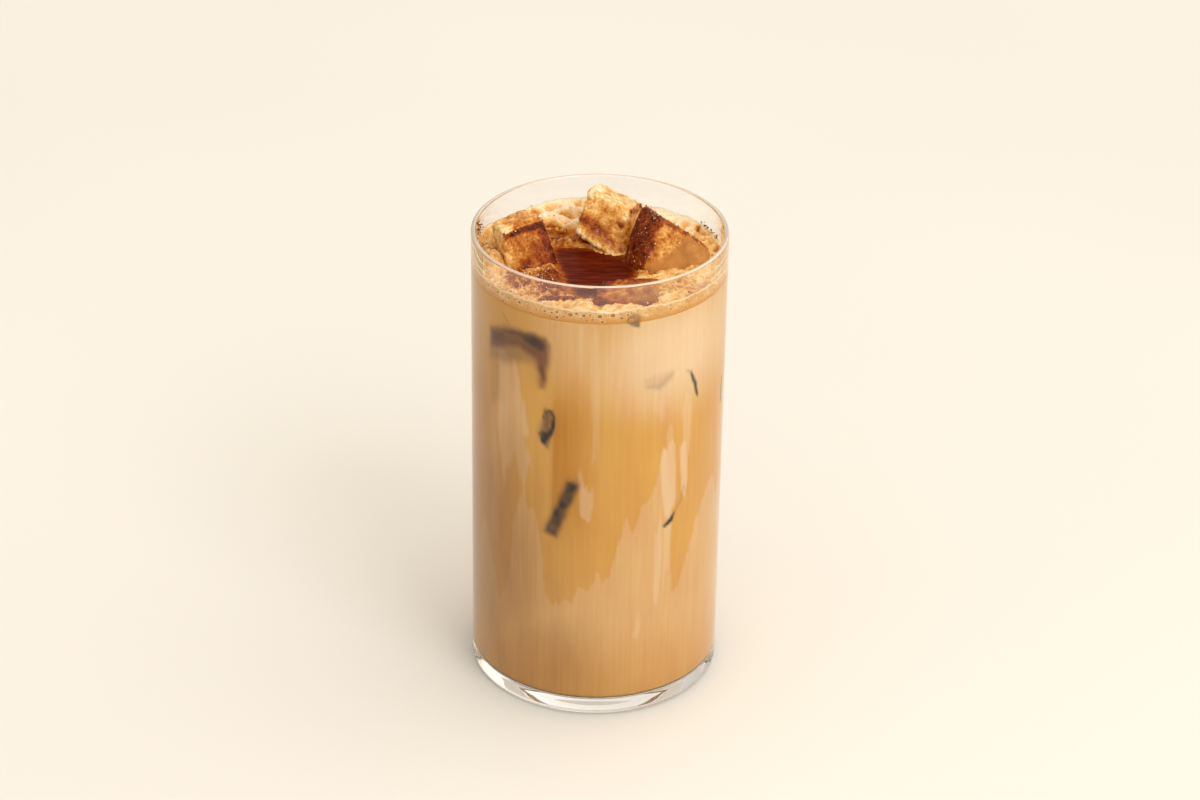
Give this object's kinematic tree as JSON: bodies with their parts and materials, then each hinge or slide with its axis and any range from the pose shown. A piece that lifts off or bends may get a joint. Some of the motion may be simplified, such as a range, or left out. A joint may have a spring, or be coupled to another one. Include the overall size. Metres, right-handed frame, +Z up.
{
  "type": "iced latte",
  "caption": "Iced coffee with milk in a tall straight glass, with a froth collar, dark coffee in the middle and dusted ice blocks standing out of the top.",
  "frame": {"origin": "centre of the glass's foot, on the surface it stands on", "axes": "+Z up along the glass's axis; -Y towards the viewer of the picture, with the open coffee and the front ice block on that side"},
  "size_m": [0.0724, 0.0724, 0.1442],
  "materials": {
    "clear_glass": "smooth clear soda-lime glass",
    "milky_coffee": "liquid, milky amber above and milk-coffee brown below",
    "milk_froth": "bubbly golden cream froth",
    "dark_coffee": "still dark red-brown liquid",
    "ice_left": "wet ice, caramel brown and grainy with coffee powder",
    "ice_back": "wet ice, golden caramel, grainy with coffee powder",
    "ice_right": "wet ice, smooth beige with a dark powdered side",
    "ice_front": "wet ice, smooth grey-brown"
  },
  "bodies": {
    "root": {"glass": "clear_glass", "latte": "milky_coffee", "froth": "milk_froth", "coffee": "dark_coffee", "ice_left": "ice_left", "ice_back": "ice_back", "ice_right": "ice_right", "ice_front": "ice_front"}
  },
  "joints": []
}
